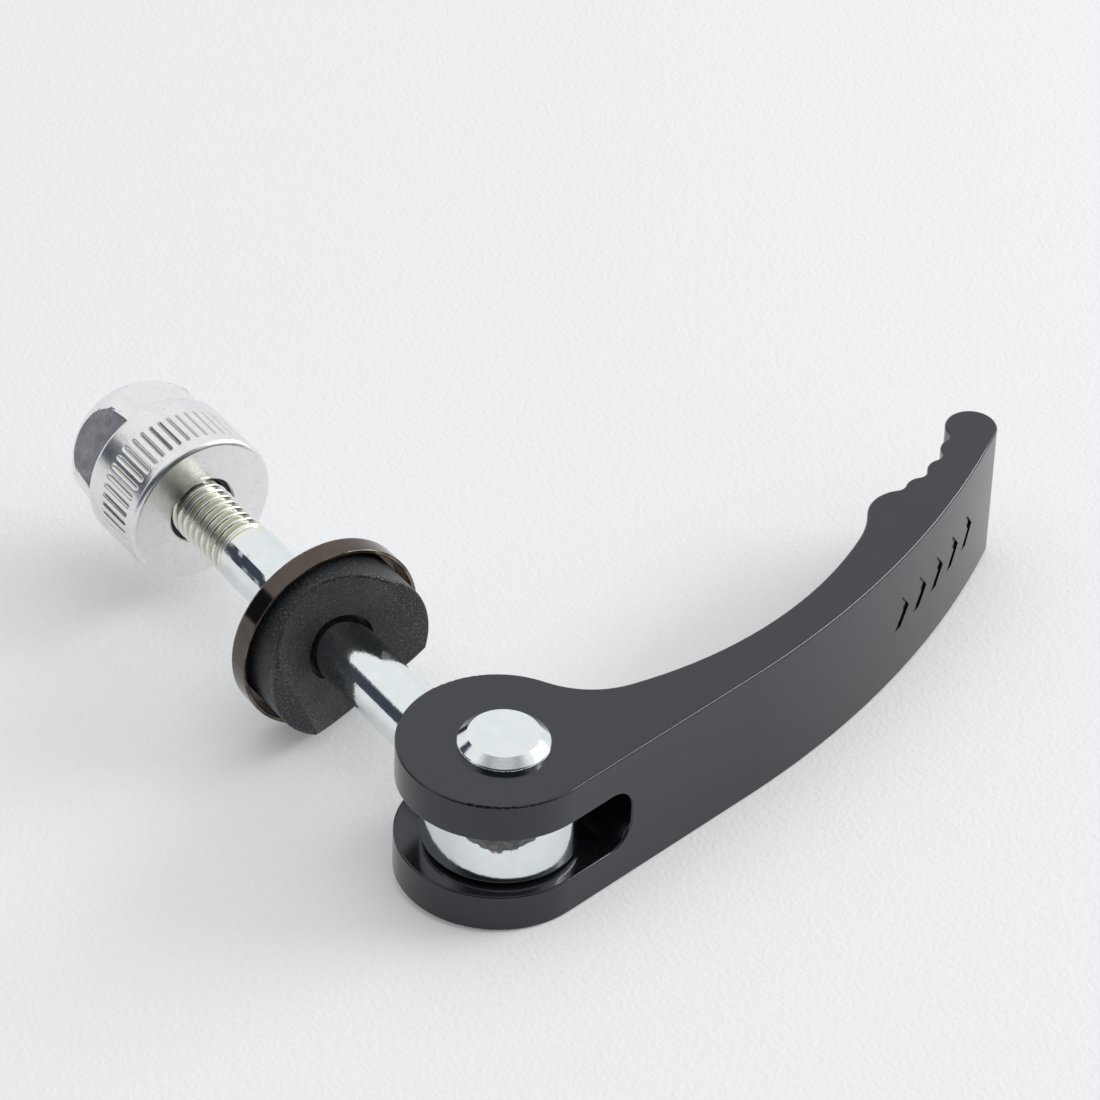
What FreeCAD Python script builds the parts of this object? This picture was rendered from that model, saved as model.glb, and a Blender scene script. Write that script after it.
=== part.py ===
"""Quick release seatpost clamp: cam lever, pivot pin, M6 eye bolt, saddle, cup washer and domed nut.

Frame: the bolt runs along X and the lever's pivot pin along Z. The origin is on the bolt's axis, in the cup
washer's bearing face, which meets the clamp. The nut is on the +X side, and the lever, shut, reaches to -Y.
"""
import FreeCAD, Part
import Sketcher

import math
import os

Vector = FreeCAD.Vector

# Distances below this count as the same place
CLOSE = 1e-4

# Driving dimensions in millimetres and degrees
SIZES = {
    # Places along the bolt
    "pin_reach": 30.0,
    "nut_gap": 19.8,
    # Lever, measured from its pivot pin
    "lever_tall": 14.2,
    "cam_radius": 9.15,
    "cam_offset": 0.7,
    "slot_gap": 6.4,
    "slot_end": 9.1,
    "slot_corner": 2.5,
    "arm_angle": 10.7,
    "arm_back_radius": 100.0,
    "arm_front_radius": 43.5,
    "arm_front_x": 43.95,
    "arm_front_y": -20.8,
    "throat_radius": 8.5,
    "heel_radius": 10.0,
    "grip_x": 24.6,
    "grip_y": -49.9,
    "grip_radius": 13.5,
    "grip_start": 179.0,
    "grip_step": 13.5,
    "first_lobe_radius": 3.8,
    "lobe_radius": 1.7,
    "notch_radius": 1.1,
    "tip_radius": 2.45,
    "edge_round": 0.25,
    "slot_round": 0.2,
    # Pivot pin
    "pin_radius": 3.0,
    "head_radius": 4.2,
    "head_flat": 3.2,
    "head_wall": 0.45,
    "head_rise": 1.3,
    "head_round": 0.3,
    "peen_radius": 3.5,
    "peen_rise": 0.5,
    "peen_recess": 0.1,
    # Eye bolt, lengths from the pin
    "eye_radius": 7.2,
    "eye_thick": 6.0,
    "eye_round": 0.5,
    "eye_bore": 3.05,
    "shank_radius": 3.0,
    "thread_radius": 2.95,
    "thread_start": 41.7,
    "bolt_end": 57.0,
    "bolt_chamfer": 0.8,
    # Cup washer, from its bearing face towards the lever
    "cup_radius": 9.33,
    "cup_depth": 2.3,
    "cup_wall": 0.4,
    "cup_floor": 0.9,
    "cup_hole": 3.3,
    "cup_round": 0.35,
    "cup_rim_round": 0.12,
    # Cam saddle, from the cup's bearing face towards the lever
    "saddle_radius": 8.35,
    "saddle_top": 5.9,
    "saddle_back": 1.0,
    "saddle_hole": 3.4,
    "saddle_turn": -23.6,
    "saddle_round": 0.3,
    "groove_floor": 3.55,
    "groove_radius": 9.35,
    # Domed nut, from its front face
    "nut_radius": 7.55,
    "nut_round": 0.6,
    "collar_length": 8.15,
    "shoulder_round": 0.6,
    "dome_centre": 8.85,
    "nut_bore": 3.0,
    "bore_depth": 13.4,
    "mouth_radius": 3.35,
    "mouth_lip": 0.6,
    "seat_radius": 3.95,
    "seat_back": 2.0,
    "mouth_chamfer": 0.15,
    "knurl_start": 1.36,
    "knurl_length": 4.2,
    "knurl_depth": 0.25,
    "knurl_half_width": 0.24,
    "knurl_count": 48,
    "flat_count": 6,
    "flat_distance": 6.5,
    "nut_turn": 34.0,
    # Lock ring, from the nut's front face
    "ring_inner": 3.0,
    "ring_outer": 3.9,
    "ring_front": 0.65,
    "ring_back": 1.95,
}

doc = FreeCAD.newDocument("seatpost_clamp")
sheet = doc.addObject("Spreadsheet::Sheet", "Sheet")
for row, (alias, number) in enumerate(SIZES.items(), start=1):
    sheet.set(f"A{row}", alias)
    sheet.set(f"B{row}", str(number))
    sheet.setAlias(f"B{row}", alias)
doc.recompute()


def value(expression):
    """Work out an expression of sheet cells, such as "Sheet.nut_bore * 2"."""
    return float(sheet.evalExpression(expression))


def origin_feature(body, role):
    """The body's own origin plane or axis with this role."""
    return next(feature for feature in body.Origin.OriginFeatures if feature.Role == role)


def new_body(label):
    """An empty body whose label names its node."""
    body = doc.addObject("PartDesign::Body", label)
    body.Label = label
    return body


def sketch_on(body, name, role, offset=None):
    """A sketch on one of the body's origin planes, moved along its normal by an expression."""
    sketch = body.newObject("Sketcher::SketchObject", name)
    sketch.AttachmentSupport = [(origin_feature(body, role), "")]
    sketch.MapMode = "FlatFace"
    if offset:
        sketch.setExpression("AttachmentOffset.Base.z", offset)
    doc.recompute()
    return sketch


def bind(sketch, kind, where, expression):
    """Add a dimension to a sketch and drive it from the sheet."""
    number = value(expression)
    if kind == "Angle":
        index = sketch.addConstraint(Sketcher.Constraint(kind, *where, math.radians(number)))
        sketch.setExpression(f"Constraints[{index}]", f"({expression}) * 1 deg")
    else:
        index = sketch.addConstraint(Sketcher.Constraint(kind, *where, number))
        sketch.setExpression(f"Constraints[{index}]", f"({expression}) * 1 mm")


def place(sketch, geometry, point, across, up):
    """Fix a sketch point at two expressions, or on an axis where an expression is 0."""
    for kind, axis, expression in (("DistanceX", -2, across), ("DistanceY", -1, up)):
        if abs(value(expression)) < CLOSE:
            sketch.addConstraint(Sketcher.Constraint("PointOnObject", geometry, point, axis))
        else:
            bind(sketch, kind, (-1, 1, geometry, point), expression)


def polygon(sketch, corners, arc_radius=None):
    """A closed outline through corners given as pairs of expressions. Its last side may be an arc."""
    points = [Vector(value(across), value(up), 0) for across, up in corners]
    first = sketch.GeometryCount
    count = len(points)
    lines = count - 1 if arc_radius else count
    for index in range(lines):
        sketch.addGeometry(Part.LineSegment(points[index], points[(index + 1) % count]), False)
    for index in range(lines - 1):
        sketch.addConstraint(Sketcher.Constraint("Coincident", first + index, 2, first + index + 1, 1))
    for index in range(lines):
        place(sketch, first + index, 1, *corners[index])
    if arc_radius:
        last = first + lines
        centre = meeting(points[-1], value(arc_radius), points[0], value(arc_radius), -1)
        whole = Part.Circle(centre, Vector(0, 0, 1), value(arc_radius))
        angles = [math.atan2(point.y - centre.y, point.x - centre.x) for point in (points[0], points[-1])]
        sketch.addGeometry(Part.ArcOfCircle(whole, *angles), False)
        sketch.addConstraint(Sketcher.Constraint("Coincident", last, 1, first, 1))
        sketch.addConstraint(Sketcher.Constraint("Coincident", last, 2, last - 1, 2))
        place(sketch, last, 2, *corners[-1])
        bind(sketch, "Radius", (last,), arc_radius)
    else:
        sketch.addConstraint(Sketcher.Constraint("Coincident", first + lines - 1, 2, first, 1))


def circle(sketch, radius, across="0", up="0"):
    """A circle of a sheet-driven radius, in a place given as two expressions."""
    centre = Vector(value(across), value(up), 0)
    index = sketch.addGeometry(Part.Circle(centre, Vector(0, 0, 1), value(radius)), False)
    place(sketch, index, 3, across, up)
    bind(sketch, "Radius", (index,), radius)


def pad(body, sketch, length):
    """Raise a sketch by half of a length on each side of its plane."""
    feature = body.newObject("PartDesign::Pad", sketch.Name + "_pad")
    feature.Profile = sketch
    feature.SideType = "Symmetric"
    feature.setExpression("Length", length)
    doc.recompute()
    return feature


def cut(body, sketch, length=None, both=False):
    """Cut a sketch out of a body along its normal, or through all on both sides."""
    before = body.Shape.Volume
    feature = body.newObject("PartDesign::Pocket", sketch.Name + "_cut")
    feature.Profile = sketch
    if both:
        feature.SideType = "Symmetric"
        feature.Type = "ThroughAll"
    else:
        feature.Reversed = True
        feature.setExpression("Length", length)
    doc.recompute()
    if body.Shape.Volume >= before:
        raise RuntimeError(f"{feature.Name} removed nothing")
    return feature


def revolve(body, sketch, role):
    """Turn a sketch once round an axis of the body's origin."""
    feature = body.newObject("PartDesign::Revolution", sketch.Name + "_turned")
    feature.Profile = sketch
    feature.ReferenceAxis = (origin_feature(body, role), [""])
    feature.Angle = 360
    doc.recompute()
    return feature


def carve(body, sketch, role):
    """Cut a sketch out of a body by turning it once round an axis of the body's origin."""
    before = body.Shape.Volume
    feature = body.newObject("PartDesign::Groove", sketch.Name + "_carved")
    feature.Profile = sketch
    feature.ReferenceAxis = (origin_feature(body, role), [""])
    feature.Angle = 360
    doc.recompute()
    if body.Shape.Volume >= before:
        raise RuntimeError(f"{feature.Name} removed nothing")


def round_edges(body, name, radius, chosen):
    """Round the edges of the body's last feature that pass a test."""
    base = body.Tip
    names = [f"Edge{index}" for index, edge in enumerate(base.Shape.Edges, start=1) if chosen(edge)]
    if not names:
        raise RuntimeError(f"{name} found no edge")
    feature = body.newObject("PartDesign::Fillet", name)
    feature.Base = (base, names)
    feature.setExpression("Radius", radius)
    doc.recompute()
    return feature


def level(edge, height):
    """True where an edge lies whole in the plane Z = height."""
    box = edge.BoundBox
    return abs(box.ZMin - height) < CLOSE and abs(box.ZMax - height) < CLOSE


def meeting(first, first_reach, second, second_reach, side):
    """The point at two distances from two points, on the left (1) or right (-1) of the line between."""
    between = second - first
    span = between.Length
    along = (first_reach ** 2 - second_reach ** 2 + span ** 2) / (2 * span)
    across = math.sqrt(first_reach ** 2 - along ** 2)
    forward = between / span
    return first + forward * along + Vector(-forward.y, forward.x, 0) * across * side


def towards(start, end, reach):
    """The point at a distance from start, in the direction of end."""
    direction = end - start
    return start + direction * (reach / direction.Length)


def grip_point(step, radius_alias):
    """Expressions for the centre of a lobe of the finger grip, whose crest is on the grip's arc."""
    angle = f"(Sheet.grip_start + {step} * Sheet.grip_step) * 1 deg"
    reach = f"(Sheet.grip_radius + Sheet.{radius_alias})"
    return f"Sheet.grip_x + {reach} * cos({angle})", f"Sheet.grip_y + {reach} * sin({angle})"


def point_of(pair):
    """The point that a pair of expressions gives."""
    return Vector(value(pair[0]), value(pair[1]), 0)


def lever_outline(sketch):
    """The lever seen from above: cam, straight back, curved arm and lobed finger grip, all tangent."""
    size = {alias: value(f"Sheet.{alias}") for alias in SIZES}
    cam_at = ("Sheet.cam_offset", "0")
    arm_at = ("Sheet.arm_front_x", "Sheet.arm_front_y")
    lobes = ["first_lobe_radius", "lobe_radius", "lobe_radius", "lobe_radius", "tip_radius"]
    lobe_at = [grip_point(step, alias) for step, alias in enumerate(lobes)]
    centres = [point_of(pair) for pair in lobe_at]
    cam, arm = point_of(cam_at), point_of(arm_at)
    tip = centres[-1]

    # The back: a line off the cam, then an arc that ends on the tip
    angle = math.radians(size["arm_angle"])
    forward = Vector(math.sin(angle), -math.cos(angle), 0)
    inward = Vector(math.cos(angle), math.sin(angle), 0)
    leave_cam = cam - inward * size["cam_radius"]
    offset_point = leave_cam + inward * size["arm_back_radius"]
    to_tip = tip - offset_point
    reach = size["arm_back_radius"] - size["tip_radius"]
    along = to_tip.dot(forward) - math.sqrt(reach ** 2 - to_tip.dot(inward) ** 2)
    back = offset_point + forward * along
    bend = leave_cam + forward * along

    # The front: notches between the lobes, then the heel, the arm and the throat under the cam
    arcs = [(back, "arm_back_radius", None, True), (tip, "tip_radius", lobe_at[-1], True)]
    notch = size["notch_radius"]
    for step in reversed(range(len(lobes) - 1)):
        near, far = centres[step + 1], centres[step]
        near_reach = size[lobes[step + 1]] + notch
        far_reach = size[lobes[step]] + notch
        arcs.append((meeting(near, near_reach, far, far_reach, -1), "notch_radius", None, False))
        arcs.append((far, lobes[step], lobe_at[step], True))
    heel = meeting(centres[0], size["first_lobe_radius"] + size["heel_radius"],
                   arm, size["arm_front_radius"] - size["heel_radius"], 1)
    throat = meeting(cam, size["cam_radius"] + size["throat_radius"],
                     arm, size["arm_front_radius"] - size["throat_radius"], -1)
    arcs.append((heel, "heel_radius", None, False))
    arcs.append((arm, "arm_front_radius", arm_at, False))
    arcs.append((throat, "throat_radius", None, False))
    arcs.append((cam, "cam_radius", cam_at, True))

    # Where each arc hands over to the next: on the line of centres, measured from the larger one inside
    joints = [bend]
    for (centre, alias, _, left), (following, next_alias, _, next_left) in zip(arcs, arcs[1:]):
        if left != next_left:
            joints.append(towards(centre, following, size[alias]))
        elif size[alias] > size[next_alias]:
            joints.append(towards(centre, following, size[alias]))
        else:
            joints.append(towards(following, centre, size[next_alias]))
    joints.append(leave_cam)

    sketch.addGeometry(Part.LineSegment(leave_cam, bend), False)
    ends = [(1, 2)]
    for (centre, alias, _, left), start, end in zip(arcs, joints, joints[1:]):
        whole = Part.Circle(centre, Vector(0, 0, 1), size[alias])
        first, last = (start, end) if left else (end, start)
        first_angle = math.atan2(first.y - centre.y, first.x - centre.x)
        last_angle = math.atan2(last.y - centre.y, last.x - centre.x)
        sketch.addGeometry(Part.ArcOfCircle(whole, first_angle, last_angle), False)
        ends.append((1, 2) if left else (2, 1))
    count = len(arcs) + 1
    for index in range(count):
        following = (index + 1) % count
        leave, enter = ends[index][1], ends[following][0]
        sketch.addConstraint(Sketcher.Constraint("Tangent", index, leave, following, enter))
    for index, (_, alias, centre_at, _) in enumerate(arcs, start=1):
        bind(sketch, "Radius", (index,), f"Sheet.{alias}")
        if centre_at:
            place(sketch, index, 3, *centre_at)
    bind(sketch, "Angle", (0,), "Sheet.arm_angle - 90")


def make_lever():
    """Cam lever: two ears with a slot between, one solid with its arm and finger grip."""
    body = new_body("lever")
    plan = sketch_on(body, "lever_plan", "XY_Plane")
    lever_outline(plan)
    pad(body, plan, "Sheet.lever_tall")

    slot = sketch_on(body, "lever_slot", "YZ_Plane")
    past_cam = "Sheet.cam_radius * 1.2"
    polygon(slot, [
        ("-Sheet.slot_end", "-Sheet.slot_gap / 2"),
        (past_cam, "-Sheet.slot_gap / 2"),
        (past_cam, "Sheet.slot_gap / 2"),
        ("-Sheet.slot_end", "Sheet.slot_gap / 2"),
    ])
    cut(body, slot, both=True)
    end = -value("Sheet.slot_end")
    half_gap = value("Sheet.slot_gap / 2")
    half_tall = value("Sheet.lever_tall / 2")
    round_edges(body, "slot_corners", "Sheet.slot_corner", lambda edge: (
        level(edge, half_gap) or level(edge, -half_gap)) and abs(edge.BoundBox.YMax - end) < CLOSE)
    round_edges(body, "outer_edges", "Sheet.edge_round", lambda edge: (
        level(edge, half_tall) or level(edge, -half_tall)))
    round_edges(body, "slot_edges", "Sheet.slot_round", lambda edge: (
        level(edge, half_gap) or level(edge, -half_gap)) and edge.BoundBox.YLength > CLOSE)

    hole = sketch_on(body, "lever_pin_hole", "XY_Plane")
    circle(hole, "Sheet.pin_radius")
    cut(body, hole, both=True)
    peen = sketch_on(body, "lever_peen_seat", "XZ_Plane")
    polygon(peen, [
        ("0", "-Sheet.lever_tall / 2"),
        ("Sheet.peen_radius", "-Sheet.lever_tall / 2"),
        ("Sheet.pin_radius", "-Sheet.lever_tall / 2 + Sheet.peen_rise"),
        ("0", "-Sheet.lever_tall / 2 + Sheet.peen_rise"),
    ])
    carve(body, peen, "Z_Axis")
    body.setExpression("Placement.Base.x", "-Sheet.pin_reach")
    return body


def make_pivot_pin():
    """Rivet pin: chamfered head on the upper ear, plain body, end peened into the lower ear."""
    body = new_body("pivot_pin")
    profile = sketch_on(body, "pin_profile", "XZ_Plane")
    top = "Sheet.lever_tall / 2"
    bottom = "-Sheet.lever_tall / 2"
    slope = "(Sheet.peen_radius - Sheet.pin_radius) / Sheet.peen_rise"
    polygon(profile, [
        ("0", f"{bottom} + Sheet.peen_recess"),
        (f"Sheet.peen_radius - Sheet.peen_recess * {slope}", f"{bottom} + Sheet.peen_recess"),
        ("Sheet.pin_radius", f"{bottom} + Sheet.peen_rise"),
        ("Sheet.pin_radius", top),
        ("Sheet.head_radius", top),
        ("Sheet.head_radius", f"{top} + Sheet.head_wall"),
        ("Sheet.head_flat", f"{top} + Sheet.head_rise"),
        ("0", f"{top} + Sheet.head_rise"),
    ])
    revolve(body, profile, "Z_Axis")
    heights = [value(f"{top} + Sheet.head_wall"), value(f"{top} + Sheet.head_rise")]
    round_edges(body, "head_edges", "Sheet.head_round", lambda edge: (
        any(level(edge, height) for height in heights)))
    body.setExpression("Placement.Base.x", "-Sheet.pin_reach")
    return body


def make_eye_bolt():
    """One-piece bolt: flat round eye, plain shank and the M6 length, left plain at its crest size."""
    body = new_body("eye_bolt")
    eye = sketch_on(body, "eye_plan", "XY_Plane")
    circle(eye, "Sheet.eye_radius")
    pad(body, eye, "Sheet.eye_thick")
    half = value("Sheet.eye_thick / 2")
    round_edges(body, "eye_edges", "Sheet.eye_round", lambda edge: level(edge, half) or level(edge, -half))

    shank = sketch_on(body, "shank_profile", "XY_Plane")
    polygon(shank, [
        ("Sheet.shank_radius", "0"),
        ("Sheet.bolt_end", "0"),
        ("Sheet.bolt_end", "Sheet.thread_radius - Sheet.bolt_chamfer"),
        ("Sheet.bolt_end - Sheet.bolt_chamfer", "Sheet.thread_radius"),
        ("Sheet.thread_start", "Sheet.thread_radius"),
        ("Sheet.thread_start", "Sheet.shank_radius"),
        ("Sheet.shank_radius", "Sheet.shank_radius"),
    ])
    revolve(body, shank, "X_Axis")
    bore = sketch_on(body, "eye_bore_plan", "XY_Plane")
    circle(bore, "Sheet.eye_bore")
    cut(body, bore, both=True)
    body.setExpression("Placement.Base.x", "-Sheet.pin_reach")
    return body


def on_rim(edge, radius):
    """True where an edge runs round the bolt's axis at this distance, from end to end."""
    points = edge.discretize(5)
    around = all(abs(math.hypot(point.y, point.z) - radius) < CLOSE for point in points)
    return around and edge.BoundBox.DiagonalLength > radius / 2


def make_cup_washer():
    """Pressed cup: flat floor that bears on the clamp, low rim towards the lever."""
    body = new_body("cup_washer")
    profile = sketch_on(body, "cup_profile", "XY_Plane")
    inner = "Sheet.cup_radius - Sheet.cup_wall"
    polygon(profile, [
        ("0", "Sheet.cup_hole"),
        ("0", "Sheet.cup_radius"),
        ("-Sheet.cup_depth", "Sheet.cup_radius"),
        ("-Sheet.cup_depth", inner),
        ("-Sheet.cup_floor", inner),
        ("-Sheet.cup_floor", "Sheet.cup_hole"),
    ])
    revolve(body, profile, "X_Axis")
    outer = value("Sheet.cup_radius")
    round_edges(body, "cup_corner", "Sheet.cup_round", lambda edge: (
        abs(edge.BoundBox.XMax) < CLOSE and on_rim(edge, outer)))
    lip = -value("Sheet.cup_depth")
    round_edges(body, "cup_lip", "Sheet.cup_rim_round", lambda edge: abs(edge.BoundBox.XMax - lip) < CLOSE)
    return body


def make_cam_saddle():
    """Nylon disc with a round hollow across it for the cam, leaving a flat-topped horn on each side."""
    body = new_body("cam_saddle")
    profile = sketch_on(body, "saddle_profile", "XY_Plane")
    polygon(profile, [
        ("-Sheet.saddle_back", "Sheet.saddle_hole"),
        ("-Sheet.saddle_back", "Sheet.saddle_radius"),
        ("-Sheet.saddle_top", "Sheet.saddle_radius"),
        ("-Sheet.saddle_top", "Sheet.saddle_hole"),
    ])
    revolve(body, profile, "X_Axis")
    groove = sketch_on(body, "saddle_groove", "XY_Plane")
    circle(groove, "Sheet.groove_radius", "-Sheet.groove_floor - Sheet.groove_radius")
    cut(body, groove, both=True)
    radius = value("Sheet.saddle_radius")
    round_edges(body, "saddle_rim", "Sheet.saddle_round", lambda edge: on_rim(edge, radius))
    body.Placement.Rotation = FreeCAD.Rotation(Vector(1, 0, 0), value("Sheet.saddle_turn"))
    return body


def make_knurled_nut():
    """Domed nut: knurled collar, six-sided round end, blind bore, groove for the lock ring in its mouth."""
    body = new_body("knurled_nut")
    collar = sketch_on(body, "nut_collar", "XY_Plane")
    polygon(collar, [
        ("0", "0"),
        ("Sheet.collar_length", "0"),
        ("Sheet.collar_length", "Sheet.nut_radius"),
        ("0", "Sheet.nut_radius"),
    ])
    revolve(body, collar, "X_Axis")
    radius = value("Sheet.nut_radius")
    length = value("Sheet.collar_length")
    round_edges(body, "nut_front", "Sheet.nut_round", lambda edge: (
        abs(edge.BoundBox.XMax) < CLOSE and on_rim(edge, radius)))
    round_edges(body, "nut_shoulder", "Sheet.shoulder_round", lambda edge: (
        abs(edge.BoundBox.XMin - length) < CLOSE and on_rim(edge, radius)))

    # The six-sided end, then the dome that rounds it off
    inside = "Sheet.collar_length - 2 * Sheet.shoulder_round"
    flats = sketch_on(body, "nut_flats", "YZ_Plane", offset=inside)
    corner = "Sheet.flat_distance / cos(180 deg / Sheet.flat_count)"
    turns = [f"{step} * 360 deg / Sheet.flat_count" for step in range(SIZES["flat_count"])]
    polygon(flats, [(f"{corner} * sin({turn})", f"{corner} * cos({turn})") for turn in turns])
    six_sides = body.newObject("PartDesign::Pad", "nut_flats_pad")
    six_sides.Profile = flats
    six_sides.setExpression("Length", f"Sheet.dome_centre + Sheet.nut_radius - ({inside})")
    doc.recompute()
    dome = sketch_on(body, "nut_dome", "XY_Plane")
    past_end = "Sheet.dome_centre + 2 * Sheet.nut_radius"
    past_side = "2 * Sheet.nut_radius"
    polygon(dome, [
        ("Sheet.dome_centre + Sheet.nut_radius", "0"),
        (past_end, "0"),
        (past_end, past_side),
        ("Sheet.dome_centre", past_side),
        ("Sheet.dome_centre", "Sheet.nut_radius"),
    ], arc_radius="Sheet.nut_radius")
    carve(body, dome, "X_Axis")

    bore = sketch_on(body, "nut_bore", "XY_Plane")
    polygon(bore, [
        ("0", "0"),
        ("Sheet.bore_depth", "0"),
        ("Sheet.bore_depth", "Sheet.nut_bore"),
        ("Sheet.seat_back", "Sheet.nut_bore"),
        ("Sheet.seat_back", "Sheet.seat_radius"),
        ("Sheet.mouth_lip", "Sheet.seat_radius"),
        ("Sheet.mouth_lip", "Sheet.mouth_radius"),
        ("Sheet.mouth_chamfer", "Sheet.mouth_radius"),
        ("0", "Sheet.mouth_radius + Sheet.mouth_chamfer"),
    ])
    carve(body, bore, "X_Axis")

    tooth = sketch_on(body, "nut_knurl", "YZ_Plane", offset="Sheet.knurl_start")
    rim = "Sheet.nut_radius + Sheet.knurl_depth / 10"
    polygon(tooth, [
        ("-Sheet.knurl_half_width", rim),
        ("0", "Sheet.nut_radius - Sheet.knurl_depth"),
        ("Sheet.knurl_half_width", rim),
    ])
    groove = cut(body, tooth, "Sheet.knurl_length")
    pattern = body.newObject("PartDesign::PolarPattern", "nut_knurl_round")
    pattern.Originals = [groove]
    pattern.Axis = (origin_feature(body, "X_Axis"), [""])
    pattern.Angle = 360
    pattern.setExpression("Occurrences", "Sheet.knurl_count")
    body.Tip = pattern
    doc.recompute()
    body.Placement.Rotation = FreeCAD.Rotation(Vector(1, 0, 0), value("Sheet.nut_turn"))
    body.setExpression("Placement.Base.x", "Sheet.nut_gap")
    return body


def make_lock_ring():
    """Nylon friction ring, held in the groove behind the nut's mouth."""
    body = new_body("lock_ring")
    profile = sketch_on(body, "ring_profile", "XY_Plane")
    polygon(profile, [
        ("Sheet.ring_front", "Sheet.ring_inner"),
        ("Sheet.ring_back", "Sheet.ring_inner"),
        ("Sheet.ring_back", "Sheet.ring_outer"),
        ("Sheet.ring_front", "Sheet.ring_outer"),
    ])
    revolve(body, profile, "X_Axis")
    body.setExpression("Placement.Base.x", "Sheet.nut_gap")
    return body


bodies = [
    make_lever(),
    make_pivot_pin(),
    make_eye_bolt(),
    make_cup_washer(),
    make_cam_saddle(),
    make_knurled_nut(),
    make_lock_ring(),
]
doc.recompute()

for item in doc.Objects:
    if "Invalid" in item.State or "Error" in item.State:
        raise RuntimeError(f"{item.Name} failed: {item.State}")
os.makedirs("parts", exist_ok=True)
for body in bodies:
    if body.Shape.isNull() or not body.Shape.isValid():
        raise RuntimeError(f"{body.Label} has no valid shape")
    body.Shape.exportStep(f"parts/{body.Label}.step")
    print(f"{body.Label}: {body.Shape.Volume:.1f} mm3, {len(body.Shape.Solids)} solid")
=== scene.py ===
"""Looks of the quick release seatpost clamp: black lever, zinc-plated bolt and pin, dark cup, bright nut.

Lengths are in metres in the part's own frame: the bolt runs along X and the lever's pivot pin along Z.
"""

import math

import bmesh
import bpy
from mathutils import Matrix, Vector


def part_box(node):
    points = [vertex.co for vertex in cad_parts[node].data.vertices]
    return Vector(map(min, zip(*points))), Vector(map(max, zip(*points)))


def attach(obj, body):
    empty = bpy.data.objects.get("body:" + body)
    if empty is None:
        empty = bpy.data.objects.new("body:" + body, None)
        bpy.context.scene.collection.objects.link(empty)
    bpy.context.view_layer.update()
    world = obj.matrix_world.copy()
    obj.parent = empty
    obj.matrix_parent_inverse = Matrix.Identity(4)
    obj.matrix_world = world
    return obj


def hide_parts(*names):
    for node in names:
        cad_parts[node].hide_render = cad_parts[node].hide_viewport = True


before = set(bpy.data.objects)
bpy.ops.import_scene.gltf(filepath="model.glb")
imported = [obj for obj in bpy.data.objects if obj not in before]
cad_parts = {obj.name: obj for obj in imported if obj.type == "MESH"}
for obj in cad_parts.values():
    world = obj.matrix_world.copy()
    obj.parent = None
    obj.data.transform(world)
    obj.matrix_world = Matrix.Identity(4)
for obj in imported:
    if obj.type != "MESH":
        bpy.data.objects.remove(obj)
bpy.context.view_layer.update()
scene = bpy.context.scene

MM = 0.001
# Points nearer than this are one point, and faces less tilted than this are one flat face
WELD = 0.001 * MM
FLAT = math.radians(0.3)

# Edges sharper than these stay crisp
EDGE_CREASE = math.radians(32)
THREAD_CREASE = math.radians(50)

# M6 thread of the bolt, along X
THREAD_START = 11.7 * MM
BOLT_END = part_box("eye_bolt")[1].x
PITCH = 1.0 * MM
CREST_RADIUS = 2.95 * MM
ROOT_RADIUS = 2.36 * MM
BOLT_TIP_RADIUS = 2.15 * MM
STEPS_ROUND = 96
STEPS_PER_PITCH = 20
# The plain shank ends at the cut, and the thread reaches back into it by the overlap
SHANK_CUT = THREAD_START - 0.02 * MM
THREAD_OVERLAP = 0.3 * MM
# Length over which the thread deepens, and the share of it that stays plain
THREAD_RUN_IN = 1.2 * PITCH
PLAIN_SHARE = 0.35
# Shares of the way from a root to a crest where the flank starts and ends
FLANK = (0.12, 0.92)

# Eye of the bolt, round the pivot pin, and the way in XY to its torn end
PIN_X = -30 * MM
EYE_WALL = 6.9 * MM
EYE_RADIUS = 7.2 * MM
EYE_END = Vector((-0.812, 0.584))

# Soft knurl round the nut's collar, set in a band that starts behind the nut's front
KNURL_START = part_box("knurled_nut")[0].x + 1.06 * MM
KNURL_BAND = 4.8 * MM
KNURL_COUNT = 48
KNURL_DEPTH = 0.2 * MM
KNURL_MARGIN = 0.15 * MM
KNURL_FADE = 0.4 * MM
COLLAR_RADIUS = 7.552 * MM
STEPS_PER_RIDGE = 14
STEPS_ALONG = 33
# Share of the spacing that a groove takes
GROOVE_SHARE = 0.62
# The knurl is a sleeve that reaches into the turned nut by the grip
SLEEVE_INNER = 6.95 * MM
SLEEVE_GRIP = 0.1 * MM

# Cup washer's lip and outer corner
LIP_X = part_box("cup_washer")[0].x
CUP_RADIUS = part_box("cup_washer")[1].y

# Cam saddle's highest edges
SADDLE_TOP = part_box("cam_saddle")[0].x

# Row of pressed chevrons on the lever's outer face, an arc round a centre in the XY plane
MARK_COUNT = 5
MARK_FIRST = math.radians(203.7)
MARK_LAST = math.radians(211.7)
ARC_CENTRE = Vector((64.243, -5.747, 0.5)) * MM
ARC_RADIUS = 100 * MM
MARK_HEIGHT = 3.5 * MM
MARK_WIDTH = 2.4 * MM
MARK_STROKE = 1.05 * MM
MARK_DEPTH = 0.2 * MM

# The part rests on a floor that is slightly tilted in its own frame
FLOOR_NORMAL = Vector((0.0614, 0.0124, 0.998)).normalized()
FLOOR_DROP = 9.453 * MM
FLOOR_HALF = 1.2
FLOOR_FADE = (0.3, 0.9)

# Camera at the photograph's place and angle
VIEW_FROM = Vector((-370.37, 240.54, 357.05)) * MM
VIEW_FORWARD = Vector((0.63790, -0.45851, -0.61875))
VIEW_RIGHT = Vector((-0.56345, -0.82557, 0.03088))
VIEW_LENS = 204.43

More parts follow.
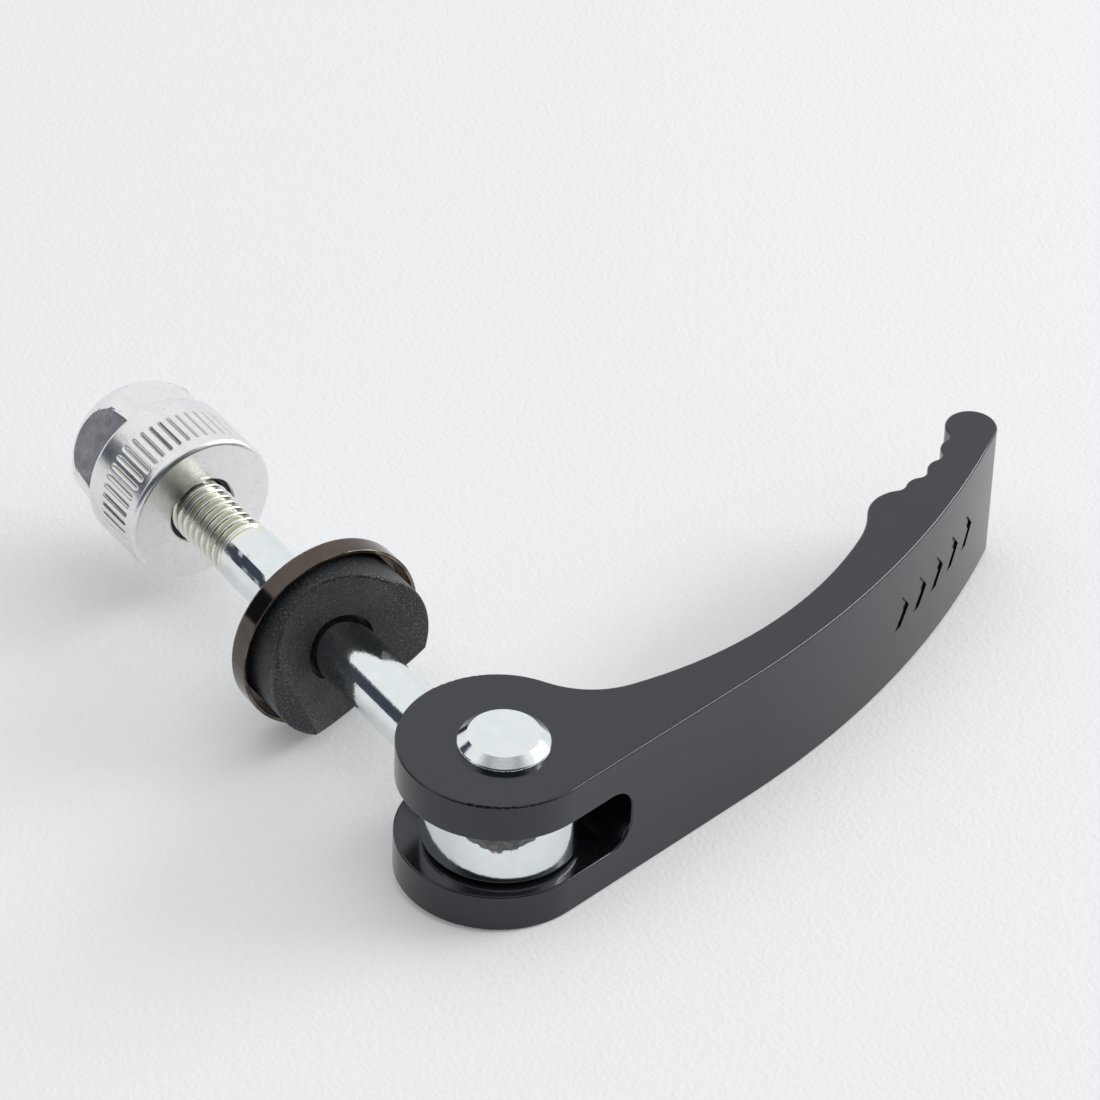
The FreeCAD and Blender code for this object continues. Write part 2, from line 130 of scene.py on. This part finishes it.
# Lamp on the lever's right that reaches from one direction to the other, and a soft fill from above
LAMP_NEAR = Vector((-0.49, -0.67, 0.54)).normalized()
LAMP_FAR = Vector((-0.08, -0.94, 0.33)).normalized()
LAMP_REACH = 0.9
LAMP_WIDTH = 0.2
LAMP_LENGTH = 0.6
LAMP_POWER = 3.8
FILL_FROM = Vector((-0.10, -0.22, 0.97)).normalized()

# Two dark sides of the white tent, in degrees: the lens, and a gap past the nut. Headings go from +X
# towards +Y, and each pair is where the dark begins and where it is full
LENS_HEADING = 144.3
LENS_SPAN = (80, 40)
LENS_TOP = (75, 38)
GAP_HEADING = 46
GAP_SPAN = (24, 19)
GAP_RISE = 17
GAP_RISE_SPAN = (15, 12)


class Socket:
    """An output of a node. Sums and products on it add Math nodes."""

    def __init__(self, tree, output):
        self.tree = tree
        self.output = output

    def __add__(self, other):
        return self.tree.maths("ADD", self, other)

    def __sub__(self, other):
        return self.tree.maths("SUBTRACT", self, other)

    def __rsub__(self, other):
        return self.tree.maths("SUBTRACT", other, self)

    def __mul__(self, other):
        return self.tree.maths("MULTIPLY", self, other)

    def __truediv__(self, other):
        return self.tree.maths("DIVIDE", self, other)

    __radd__ = __add__
    __rmul__ = __mul__


class Tree:
    """A node tree to which nodes are added one by one."""

    def __init__(self, node_tree):
        self.nodes = node_tree.nodes
        self.links = node_tree.links

    def add(self, kind, settings=None, sockets=None, out=0):
        """Add a node with its settings, then its sockets' values or links, and give one of its outputs.

        A list is several links to one socket.
        """
        node = self.nodes.new(kind)
        for name, setting in (settings or {}).items():
            setattr(node, name, setting)
        for name, given in (sockets or {}).items():
            for one in given if isinstance(given, list) else [given]:
                if isinstance(one, Socket):
                    self.links.new(one.output, node.inputs[name])
                else:
                    node.inputs[name].default_value = one
        return Socket(self, node.outputs[out]) if len(node.outputs) else None

    def maths(self, operation, *terms):
        """A Math node on these terms, which are sockets or numbers."""
        return self.add("ShaderNodeMath", {"operation": operation}, dict(enumerate(terms)))

    def reach(self, across, up):
        """The distance that two parts at right angles come to."""
        return self.maths("SQRT", across * across + up * up)

    def swing(self, radius, angle):
        """The two parts at right angles of a radius that is turned by an angle."""
        return radius * self.maths("COSINE", angle), radius * self.maths("SINE", angle)

    def spot(self):
        """The point on the piece, in the part's frame."""
        return self.add("ShaderNodeTexCoord", out="Object")

    def across(self, vector):
        """The three parts of a vector."""
        return [self.add("ShaderNodeSeparateXYZ", None, {0: vector}, out=axis) for axis in range(3)]

    def grain(self, size, detail=2.0):
        """Noise whose patches are about this size."""
        noise = {"Vector": self.spot(), "Scale": 1 / size, "Detail": detail}
        return self.add("ShaderNodeTexNoise", None, noise)

    def fade(self, value, low, high):
        """Go smoothly from 0 to 1 as a value goes from low to high."""
        limits = {"Value": value, "From Min": low, "From Max": high}
        return self.add("ShaderNodeMapRange", {"interpolation_type": "SMOOTHSTEP"}, limits)

    def blend(self, share, first, second):
        """Mix two colours."""
        return self.add("ShaderNodeMix", {"data_type": "RGBA"}, {0: share, 6: first, 7: second}, out=2)

    def sight(self):
        """Whether the camera, a mirror or a clear piece looks this way."""
        rays = ("Is Camera Ray", "Is Glossy Ray", "Is Transmission Ray")
        return [self.add("ShaderNodeLightPath", out=ray) for ray in rays]

    def relief(self, height, depth):
        """A bump of this depth."""
        return self.add("ShaderNodeBump", None, {"Height": height, "Distance": depth})


def colour(red, green, blue):
    """An opaque linear colour."""
    return (red, green, blue, 1.0)


def new_material(name):
    """An empty node material and its tree."""
    material = bpy.data.materials.new(name)
    material.use_nodes = True
    material.node_tree.nodes.clear()
    return material, Tree(material.node_tree)


def surface(tree, sockets):
    """End a material's tree in one surface shader."""
    shader = tree.add("ShaderNodeBsdfPrincipled", None, sockets)
    tree.add("ShaderNodeOutputMaterial", None, {"Surface": shader})


def gloss_black():
    """Lever: smooth black paint, half glossy, with a faint skin and a few specks of dust."""
    material, tree = new_material("gloss_black")
    patches = tree.grain(3 * MM)
    skin = tree.grain(0.35 * MM, detail=3)
    dust = tree.fade(tree.grain(0.22 * MM, detail=0), 0.80, 0.86)
    black = tree.blend(patches, colour(0.0036, 0.0037, 0.0046), colour(0.0058, 0.0060, 0.0072))
    surface(tree, {
        "Base Color": tree.blend(dust, black, colour(0.03, 0.03, 0.03)),
        "Roughness": 0.13 + 0.07 * patches + 0.2 * dust,
        "IOR": 1.64,
        "Specular Tint": colour(0.88, 0.91, 1.0),
        "Normal": tree.relief(skin, 0.0016 * MM),
    })
    return material


def bright_zinc():
    """Eye bolt and pin: bright bluish plating, straw-coloured in the thread with painted shade in its
    roots, and torn at the eye's end.
    """
    material, tree = new_material("bright_zinc")
    along, side, up = tree.across(tree.spot())
    threaded = tree.fade(along, THREAD_START - PITCH, THREAD_START)
    root = threaded * tree.fade(tree.reach(side, up), CREST_RADIUS, ROOT_RADIUS)
    film = tree.grain(1.2 * MM, detail=3)
    pits = tree.grain(0.3 * MM, detail=3)
    plain = tree.blend(film, colour(0.74, 0.81, 0.82), colour(0.90, 0.915, 0.92))
    rolled = tree.blend(threaded, plain, colour(0.86, 0.865, 0.80))
    # Painted shade: the thread's roots get a darker straw colour
    zinc = tree.blend(root, rolled, colour(0.57, 0.56, 0.46))

    # The upper half of the eye's wall is torn and dark in a crescent at its end
    tear = tree.grain(0.8 * MM, detail=2)
    wall = tree.fade(tree.reach(along - PIN_X, side), EYE_WALL, EYE_WALL + 0.2 * MM)
    end = (along - PIN_X) * EYE_END.x + side * EYE_END.y - EYE_RADIUS
    torn = wall * tree.fade(up + tear * (1.2 * MM) + end * 1.7, 1.3 * MM, 1.6 * MM)
    raw = tree.blend(tree.fade(tear, 0.4, 0.65), colour(0.010, 0.011, 0.016), colour(0.09, 0.08, 0.07))

    # The shank is dented between the washer and the thread
    dented = tree.fade(along, 2 * MM, 4 * MM) * tree.fade(along, THREAD_START, THREAD_START - 2 * PITCH)
    dents = tree.grain(1.7 * MM, detail=0) * dented * 20
    surface(tree, {
        "Base Color": tree.blend(torn * 0.9, zinc, raw),
        "Metallic": 1.0,
        "Roughness": 0.07 + 0.05 * pits + 0.07 * threaded + 0.1 * root + 0.2 * torn,
        "Normal": tree.relief(pits * (1 + 4 * torn + 2 * threaded) + dents, 0.006 * MM),
    })
    return material


def black_nickel():
    """Cup washer: dark brown mirror plating, with a painted highlight in patches along its lip and outer
    corner.
    """
    material, tree = new_material("black_nickel")
    along, side, up = tree.across(tree.spot())
    lip = tree.fade(along, LIP_X + 0.10 * MM, LIP_X + 0.03 * MM)
    rim = tree.fade(tree.reach(side, up), CUP_RADIUS - 0.25 * MM, CUP_RADIUS - 0.10 * MM)
    corner = tree.fade(along, -0.30 * MM, -0.12 * MM) * rim
    cloud = tree.grain(2 * MM, detail=3)
    brown = tree.blend(cloud, colour(0.078, 0.064, 0.054), colour(0.125, 0.105, 0.092))
    # Painted highlight: the lip and the outer corner are painted paler, in patches
    painted_edge_highlight = tree.maths("MAXIMUM", lip, corner) * tree.fade(cloud, 0.3, 0.7) * 0.7
    surface(tree, {
        "Base Color": tree.blend(painted_edge_highlight, brown, colour(0.36, 0.29, 0.21)),
        "Metallic": 1.0,
        "Roughness": 0.05 + 0.06 * cloud,
        "Normal": tree.relief(cloud, 0.006 * MM),
    })
    return material


def grained_nylon():
    """Cam saddle: matt black nylon with a coarse grain and painted glints, more of them near its highest
    edges.
    """
    material, tree = new_material("grained_nylon")
    along, _, _ = tree.across(tree.spot())
    grain = tree.grain(0.14 * MM, detail=2)
    wear = tree.grain(2.5 * MM, detail=3)
    black = tree.blend(wear, colour(0.007, 0.0078, 0.0095), colour(0.015, 0.0165, 0.0195))
    # Painted highlight: glints are painted into the colour as pale specks, more of them near the highest
    # edges
    highlit_ridge = tree.fade(along, SADDLE_TOP + 1.8 * MM, SADDLE_TOP + 0.2 * MM)
    painted_glint = tree.fade(grain, 0.53, 0.72) * (0.4 + 0.35 * highlit_ridge)
    surface(tree, {
        "Base Color": tree.blend(painted_glint, black, colour(0.26, 0.27, 0.29)),
        "Roughness": 0.36 + 0.12 * wear - 0.1 * painted_glint,
        "Normal": tree.relief(grain, 0.075 * MM),
    })
    return material


def bright_alloy():
    """Domed nut: turned aluminium with tool lines, soft smears, small nicks and grime in its knurl."""
    material, tree = new_material("bright_alloy")
    along, side, up = tree.across(tree.spot())
    out = tree.reach(side, up)
    lines = tree.maths("SINE", (out + along) * (2 * math.pi / (0.3 * MM)))
    past_start = tree.fade(along, KNURL_START, KNURL_START + KNURL_FADE)
    before_end = tree.fade(along, KNURL_START + KNURL_BAND, KNURL_START + KNURL_BAND - KNURL_FADE)
    in_groove = tree.fade(out, COLLAR_RADIUS - 0.03 * MM, COLLAR_RADIUS - KNURL_DEPTH)
    at_collar = tree.fade(out, COLLAR_RADIUS - 0.6 * MM, COLLAR_RADIUS - 0.4 * MM)
    grime = past_start * before_end * in_groove * at_collar
    smear = tree.grain(1.1 * MM, detail=4)
    nicks = tree.fade(tree.grain(0.35 * MM, detail=2), 0.60, 0.75)
    silver = tree.blend(smear, colour(0.76, 0.765, 0.765), colour(0.92, 0.92, 0.915))
    nicked = tree.blend(nicks, silver, colour(0.70, 0.70, 0.70))
    surface(tree, {
        "Base Color": tree.blend(grime, nicked, colour(0.52, 0.50, 0.45)),
        "Metallic": 1.0,
        "Roughness": 0.18 + 0.14 * smear,
        "Normal": tree.relief(lines * 0.06 + smear - nicks * 0.4, 0.011 * MM),
    })
    return material


def dark_nylon():
    """Lock ring: dark grey nylon."""
    material, tree = new_material("dark_nylon")
    grain = tree.grain(0.2 * MM, detail=2)
    surface(tree, {
        "Base Color": tree.blend(grain, colour(0.05, 0.053, 0.06), colour(0.10, 0.105, 0.115)),
        "Roughness": 0.45 + 0.2 * grain,
        "Normal": tree.relief(grain, 0.004 * MM),
    })
    return material


def geometry_tree(name, **inputs):
    """A geometry tree with named inputs of each kind: the group, its tree and the inputs' sockets."""
    group = bpy.data.node_groups.new(name, "GeometryNodeTree")
    kinds = {label: kind for kind, labels in inputs.items() for label in labels}
    for label, kind in kinds.items():
        group.interface.new_socket(label, in_out="INPUT", socket_type="NodeSocket" + kind)
    group.interface.new_socket("Result", in_out="OUTPUT", socket_type="NodeSocketGeometry")
    tree = Tree(group)
    return group, tree, {label: tree.add("NodeGroupInput", out=label) for label in kinds}


def close_geometry_tree(tree, geometry, material):
    """End a geometry tree in real, painted geometry."""
    real = tree.add("GeometryNodeRealizeInstances", None, {"Geometry": geometry})
    painted = tree.add("GeometryNodeSetMaterial", None, {"Geometry": real, "Material": material})
    tree.add("NodeGroupOutput", None, {"Result": painted})


def shown_mesh(holder):
    """The mesh of an object with its modifiers applied."""
    graph = bpy.context.evaluated_depsgraph_get()
    return bpy.data.meshes.new_from_object(holder.evaluated_get(graph))


def new_object(name, mesh):
    """An object at the origin with this mesh."""
    holder = bpy.data.objects.new(name, mesh)
    scene.collection.objects.link(holder)
    return holder


def grown(name, group, values, seed_mesh=None):
    """The plain mesh that a geometry tree gives for these values of its inputs."""
    holder = new_object(name, seed_mesh or bpy.data.meshes.new(name))
    modifier = holder.modifiers.new(name, "NODES")
    modifier.node_group = group
    for item in group.interface.items_tree:
        if item.in_out == "INPUT" and item.name in values:
            modifier[item.identifier] = values[item.name]
    mesh = shown_mesh(holder)
    bpy.data.objects.remove(holder)
    return mesh


def combined(name, base_mesh, other_mesh, operation):
    """One mesh with another added to it or cut from it."""
    base = new_object(name, base_mesh)
    other = new_object(name + "_tool", other_mesh)
    modifier = base.modifiers.new(name, "BOOLEAN")
    modifier.operation = operation
    modifier.solver = "EXACT"
    modifier.object = other
    mesh = shown_mesh(base)
    bpy.data.objects.remove(base)
    bpy.data.objects.remove(other)
    return mesh


def shaded(name, mesh, crease):
    """The mesh with flats flat, rounds smooth and edges sharper than the crease angle kept crisp."""
    shape = shape_of(mesh)
    bmesh.ops.dissolve_limit(shape, angle_limit=FLAT, verts=shape.verts, edges=shape.edges)
    flat_mesh = mesh_of(shape, name)
    flat_mesh.shade_smooth()
    flat_mesh.set_sharp_from_angle(angle=crease)
    holder = new_object(name, flat_mesh)
    modifier = holder.modifiers.new(name, "WEIGHTED_NORMAL")
    modifier.keep_sharp = True
    weighted = shown_mesh(holder)
    bpy.data.objects.remove(holder)
    return weighted


def piece(name, mesh, material, body, node):
    """A finished piece that stands for a CAD node and moves with its body."""
    mesh.name = name
    mesh.materials.clear()
    mesh.materials.append(material)
    finished = new_object(name, mesh)
    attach(finished, body)
    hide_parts(node)


def shape_of(mesh):
    """A mesh opened for editing."""
    shape = bmesh.new()
    shape.from_mesh(mesh)
    return shape


def joined_copy(node):
    """A copy of a CAD node with its loose triangles joined."""
    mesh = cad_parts[node].data.copy()
    if "custom_normal" in mesh.attributes:
        mesh.attributes.remove(mesh.attributes["custom_normal"])
    shape = shape_of(mesh)
    bmesh.ops.remove_doubles(shape, verts=shape.verts, dist=WELD)
    return shape


def mesh_of(shape, name):
    """A mesh from an edited shape, with its faces turned outwards."""
    bmesh.ops.recalc_face_normals(shape, faces=shape.faces)
    mesh = bpy.data.meshes.new(name)
    shape.to_mesh(mesh)
    shape.free()
    return mesh


def unit_grid(tree, columns, rows):
    """A square grid of side 1 round the origin."""
    return tree.add("GeometryNodeMeshGrid", None, {
        "Size X": 1.0, "Size Y": 1.0, "Vertices X": columns, "Vertices Y": rows})


def placed(tree, geometry, x, y, z):
    """A geometry with its points moved to these places."""
    spot = tree.add("ShaderNodeCombineXYZ", None, {0: x, 1: y, 2: z})
    return tree.add("GeometryNodeSetPosition", None, {"Geometry": geometry, "Position": spot})


def welded(tree, geometry):
    """A geometry with its touching points merged."""
    return tree.add("GeometryNodeMergeByDistance", None, {"Geometry": geometry, "Distance": WELD})


def screw_thread_tree():
    """A closed threaded rod along X that fades in at its start and is chamfered at its tip."""
    group, tree, given = geometry_tree(
        "screw_thread",
        Float=["Start", "Length", "Pitch", "Crest Radius", "Root Radius", "Tip Radius", "Run In"],
        Int=["Columns", "Steps Round"],
        Material=["Material"],
    )
    start, length, pitch = given["Start"], given["Length"], given["Pitch"]
    crest, root, tip = given["Crest Radius"], given["Root Radius"], given["Tip Radius"]
    grid = unit_grid(tree, given["Columns"], given["Steps Round"] + 1)
    flat_x, flat_y, _ = tree.across(tree.add("GeometryNodeInputPosition"))
    travel = (flat_x + 0.5) * (length + pitch)
    turn = flat_y + 0.5

    # Each column of the grid keeps its place in the thread's profile and climbs one pitch in a turn
    helix = travel - pitch + turn * pitch
    along = tree.maths("MINIMUM", tree.maths("MAXIMUM", helix, 0.0), length)
    phase = tree.maths("FRACT", travel / pitch)
    height = tree.maths("ABSOLUTE", phase * 2 - 1)
    flank = tree.fade(height, *FLANK)
    run_in = tree.fade(along, given["Run In"] * PLAIN_SHARE, given["Run In"])
    radius = crest - (crest - root) * (1 - flank) * run_in
    chamfered = tree.maths("MINIMUM", radius, tip + (length - along))
    shells = [placed(tree, grid, start + along, *tree.swing(chamfered, turn * (2 * math.pi)))]
    for place, end_radius in ((start, crest), (start + length, tip)):
        disc = tree.add("GeometryNodeMeshCircle", {"fill_type": "NGON"}, {
            "Vertices": given["Steps Round"], "Radius": end_radius})
        shells.append(placed(tree, disc, place, flat_x, flat_y))
    rod = tree.add("GeometryNodeJoinGeometry", None, {"Geometry": shells})
    close_geometry_tree(tree, welded(tree, rod), given["Material"])
    return group


def make_threaded_bolt(material):
    """Eye bolt with its real screw thread in place of the plain end."""
    shape = joined_copy("eye_bolt")
    parts = shape.verts[:] + shape.edges[:] + shape.faces[:]
    bmesh.ops.bisect_plane(shape, geom=parts, dist=WELD / 10, plane_co=(SHANK_CUT, 0, 0),
                           plane_no=(1, 0, 0), clear_outer=True)
    bmesh.ops.holes_fill(shape, edges=[edge for edge in shape.edges if edge.is_boundary])
    shank = mesh_of(shape, "plain_shank")

    start = THREAD_START - THREAD_OVERLAP
    length = BOLT_END - start
    grown_thread = grown("screw_thread", screw_thread_tree(), {
        "Start": start, "Length": length, "Pitch": PITCH, "Crest Radius": CREST_RADIUS,
        "Root Radius": ROOT_RADIUS, "Tip Radius": BOLT_TIP_RADIUS,
        "Run In": THREAD_OVERLAP + THREAD_RUN_IN, "Steps Round": STEPS_ROUND,
        "Columns": round((length / PITCH + 1) * STEPS_PER_PITCH) + 1, "Material": material,
    })
    thread = mesh_of(shape_of(grown_thread), "thread")
    whole = combined("threaded_bolt", shank, thread, "UNION")
    piece("threaded_eye_bolt", shaded("bolt_shading", whole, THREAD_CREASE), material,
          "bolt", "eye_bolt")


def knurl_tree():
    """A closed ring round X whose outside has soft grooves along it, each fading out at both ends."""
    group, tree, given = geometry_tree(
        "soft_knurl",
        Float=["Start", "Length", "Inner Radius", "Outer Radius", "Depth", "Margin", "Fade"],
        Int=["Count", "Columns", "Steps Round"],
        Material=["Material"],
    )
    length, columns, margin = given["Length"], given["Columns"], given["Margin"]
    grid = unit_grid(tree, columns + 3, given["Steps Round"] + 1)
    flat_x, flat_y, _ = tree.across(tree.add("GeometryNodeInputPosition"))

    # The columns go along the outside, in at the far end, back along the inside and out again
    column = (flat_x + 0.5) * (columns + 2)
    turn = flat_y + 0.5
    back = tree.maths("GREATER_THAN", column, columns + 0.5)
    past_outside = tree.maths("GREATER_THAN", column, columns - 0.5)
    inside = past_outside * tree.maths("LESS_THAN", column, columns + 1.5)
    along = length * tree.maths("MINIMUM", column / (columns - 1), 1.0) * (1 - back)

    from_groove = tree.maths("ABSOLUTE", tree.maths("FRACT", turn * given["Count"]) * 2 - 1)
    soft_end = margin + given["Fade"]
    ends = tree.fade(along, margin, soft_end) * tree.fade(length - along, margin, soft_end)
    outer = given["Outer Radius"] - given["Depth"] * ends * tree.fade(from_groove, GROOVE_SHARE, 0.0)
    radius = outer * (1 - inside) + given["Inner Radius"] * inside
    ring = placed(tree, grid, given["Start"] + along, *tree.swing(radius, turn * (2 * math.pi)))
    close_geometry_tree(tree, welded(tree, ring), given["Material"])
    return group


def make_knurled_nut(material):
    """Domed nut whose knurled band has soft rolled grooves."""
    band = {
        "Start": KNURL_START, "Length": KNURL_BAND, "Inner Radius": SLEEVE_INNER,
        "Outer Radius": COLLAR_RADIUS, "Depth": KNURL_DEPTH, "Count": KNURL_COUNT, "Margin": KNURL_MARGIN,
        "Fade": KNURL_FADE, "Columns": STEPS_ALONG, "Steps Round": KNURL_COUNT * STEPS_PER_RIDGE,
        "Material": material,
    }
    room = dict(band)
    room["Start"] += SLEEVE_GRIP / 4
    room["Length"] -= SLEEVE_GRIP / 2
    room["Inner Radius"] += SLEEVE_GRIP
    room["Outer Radius"] += 5 * SLEEVE_GRIP
    room["Depth"] = 0.0
    group = knurl_tree()
    ring, sleeve = [mesh_of(shape_of(grown("soft_knurl", group, sizes)), "ring") for sizes in (room, band)]
    plain = mesh_of(joined_copy("knurled_nut"), "plain_nut")
    turned = combined("turned_nut", plain, ring, "DIFFERENCE")
    knurled = combined("soft_nut", turned, sleeve, "UNION")
    piece("soft_knurled_nut", shaded("nut_shading", knurled, EDGE_CREASE), material,
          "nut", "knurled_nut")


def mark_row_tree():
    """One mark set again and again along an arc round the Z axis, each turned to face outwards."""
    group, tree, given = geometry_tree(
        "mark_row",
        Geometry=["Mark"],
        Int=["Count"],
        Float=["First Angle", "Angle Step", "Arc Radius"],
        Vector=["Arc Centre"],
        Material=["Material"],
    )
    points = tree.add("GeometryNodeMeshLine", None, {"Count": given["Count"]})
    angle = given["First Angle"] + tree.add("GeometryNodeInputIndex") * given["Angle Step"]
    across, up = tree.swing(given["Arc Radius"], angle)
    reach = tree.add("ShaderNodeCombineXYZ", None, {0: across, 1: up})
    spot = tree.add("ShaderNodeVectorMath", {"operation": "ADD"}, {0: given["Arc Centre"], 1: reach})
    on_arc = tree.add("GeometryNodeSetPosition", None, {"Geometry": points, "Position": spot})
    turn = tree.add("ShaderNodeCombineXYZ", None, {2: angle})
    marks = tree.add("GeometryNodeInstanceOnPoints", None, {
        "Points": on_arc, "Instance": given["Mark"], "Rotation": turn})
    close_geometry_tree(tree, marks, given["Material"])
    return group


def chevron_cutter():
    """A chevron that points along Y, deep enough along X to press its shape into a face."""
    half, rise = MARK_WIDTH / 2, MARK_HEIGHT / 2
    outline = [
        (-half, rise), (half - MARK_STROKE, 0), (-half, -rise),
        (MARK_STROKE - half, -rise), (half, 0), (MARK_STROKE - half, rise),
    ]
    shape = bmesh.new()
    floor = shape.faces.new([shape.verts.new((-MARK_DEPTH, along, up)) for along, up in outline])
    raised = bmesh.ops.extrude_face_region(shape, geom=[floor], use_keep_orig=True)["geom"]
    tops = [part for part in raised if isinstance(part, bmesh.types.BMVert)]
    bmesh.ops.translate(shape, verts=tops, vec=(2 * MARK_DEPTH, 0, 0))
    return mesh_of(shape, "chevron")


def make_marked_lever(material):
    """Lever with a plain row of chevrons pressed into its outer face near the tip."""
    row = grown("mark_row", mark_row_tree(), {
        "Count": MARK_COUNT, "First Angle": MARK_FIRST,
        "Angle Step": (MARK_LAST - MARK_FIRST) / (MARK_COUNT - 1),
        "Arc Radius": ARC_RADIUS, "Arc Centre": ARC_CENTRE, "Material": material,
    }, chevron_cutter())
    lever = combined("lever", mesh_of(joined_copy("lever"), "plain_lever"), row, "DIFFERENCE")
    piece("marked_lever", shaded("lever_shading", lever, EDGE_CREASE), material,
          "lever", "lever")


def make_floor():
    """Pale floor that the part rests on, fading out far from it."""
    material, tree = new_material("pale_floor")
    along, side, _ = tree.across(tree.spot())
    tooth = tree.grain(0.5 * MM, detail=3)
    camera, glossy, through = tree.sight()
    seen = tree.maths("MAXIMUM", camera, tree.maths("MAXIMUM", glossy, through))
    pale = tree.add("ShaderNodeBsdfPrincipled", None, {
        "Base Color": tree.blend(tooth, colour(0.64, 0.645, 0.655), colour(0.67, 0.675, 0.685)),
        "Roughness": 0.9,
        "Specular IOR Level": 0.1,
        "Emission Color": tree.blend(seen, colour(0, 0, 0), colour(0.18, 0.181, 0.183)),
        "Emission Strength": 1.0,
        "Normal": tree.relief(tooth, 0.08 * MM),
    })
    clear = tree.add("ShaderNodeBsdfTransparent")
    faded = tree.add("ShaderNodeMixShader", None, {
        0: tree.fade(tree.reach(along, side), *FLOOR_FADE), 1: pale, 2: clear})
    tree.add("ShaderNodeOutputMaterial", None, {"Surface": faded})

    half = FLOOR_HALF
    corners = []
    for x, y in ((-half, -half), (half, -half), (half, half), (-half, half)):
        depth = (FLOOR_DROP + FLOOR_NORMAL.x * x + FLOOR_NORMAL.y * y) / FLOOR_NORMAL.z
        corners.append((x, y, -depth))
    mesh = bpy.data.meshes.new("floor")
    mesh.from_pydata(corners, [], [(0, 1, 2, 3)])
    mesh.materials.append(material)
    new_object("floor", mesh)


def light_the_studio():
    """Soft fill, a lamp, and a white tent that metal shows, dark at the lens and in a gap past the nut."""
    world = bpy.data.worlds.new("studio")
    world.use_nodes = True
    world.node_tree.nodes.clear()
    tree = Tree(world.node_tree)
    direction = tree.add("ShaderNodeTexCoord", out="Generated")
    along, side, up = tree.across(direction)
    rise = tree.maths("DEGREES", tree.maths("ARCSINE", up))

    def toward(heading, edge, core):
        """Go from 0 at the edge to 1 at the core, both in degrees off a heading."""
        ahead = math.radians(heading)
        share = (along * math.cos(ahead) + side * math.sin(ahead)) / tree.reach(along, side)
        return tree.fade(share, math.cos(math.radians(edge)), math.cos(math.radians(core)))

    off_rise = tree.maths("ABSOLUTE", rise - GAP_RISE)
    gap = toward(GAP_HEADING, *GAP_SPAN) * tree.fade(off_rise, *GAP_RISE_SPAN)
    lens = toward(LENS_HEADING, *LENS_SPAN) * tree.fade(rise, *LENS_TOP)
    white = tree.blend(tree.fade(up, 0.0, 0.5), colour(0.84, 0.85, 0.87), colour(0.91, 0.92, 0.925))
    tent = tree.blend(tree.maths("MAXIMUM", gap, lens), white, colour(0.05, 0.057, 0.08))
    facing = tree.add("ShaderNodeVectorMath", {"operation": "DOT_PRODUCT"}, {
        0: direction, 1: FILL_FROM}, out="Value")
    overhead = tree.fade(facing, 0.3, 0.95)
    fill = tree.blend(overhead, colour(0.235, 0.237, 0.24), colour(1.27, 1.28, 1.29))

    camera, glossy, through = tree.sight()
    mirrored = tree.blend(tree.maths("MAXIMUM", glossy, through), fill, tent)
    shown = tree.blend(camera, mirrored, colour(0.85, 0.86, 0.87))
    sky = tree.add("ShaderNodeBackground", None, {"Color": shown, "Strength": 1.0})
    tree.add("ShaderNodeOutputWorld", None, {"Surface": sky})
    scene.world = world

    lamp_data = bpy.data.lights.new("softbox", "AREA")
    lamp_data.shape = "RECTANGLE"
    lamp_data.size = LAMP_WIDTH
    lamp_data.size_y = LAMP_LENGTH
    lamp_data.energy = LAMP_POWER
    lamp = bpy.data.objects.new("softbox", lamp_data)
    away = (LAMP_NEAR + LAMP_FAR).normalized()
    length_way = (LAMP_FAR - LAMP_NEAR).normalized()
    turn = Matrix((length_way.cross(away), length_way, away)).transposed().to_4x4()
    lamp.matrix_world = Matrix.Translation(away * LAMP_REACH) @ turn
    scene.collection.objects.link(lamp)


def aim_camera():
    """A long lens beyond the pivot pin, looking down past it at the nut and the lever's tip."""
    data = bpy.data.cameras.new("camera")
    data.sensor_width = 36.0
    data.lens = VIEW_LENS
    camera = bpy.data.objects.new("camera", data)
    up = VIEW_RIGHT.cross(VIEW_FORWARD)
    turn = Matrix((VIEW_RIGHT, up, -VIEW_FORWARD)).transposed().to_4x4()
    camera.matrix_world = Matrix.Translation(VIEW_FROM) @ turn
    scene.collection.objects.link(camera)
    scene.camera = camera


zinc = bright_zinc()
make_marked_lever(gloss_black())
make_threaded_bolt(zinc)
make_knurled_nut(bright_alloy())
for node, material in {
    "pivot_pin": zinc,
    "cup_washer": black_nickel(),
    "cam_saddle": grained_nylon(),
    "lock_ring": dark_nylon(),
}.items():
    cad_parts[node].material_slots[0].material = material
make_floor()
light_the_studio()
aim_camera()
scene.view_settings.view_transform = "Standard"
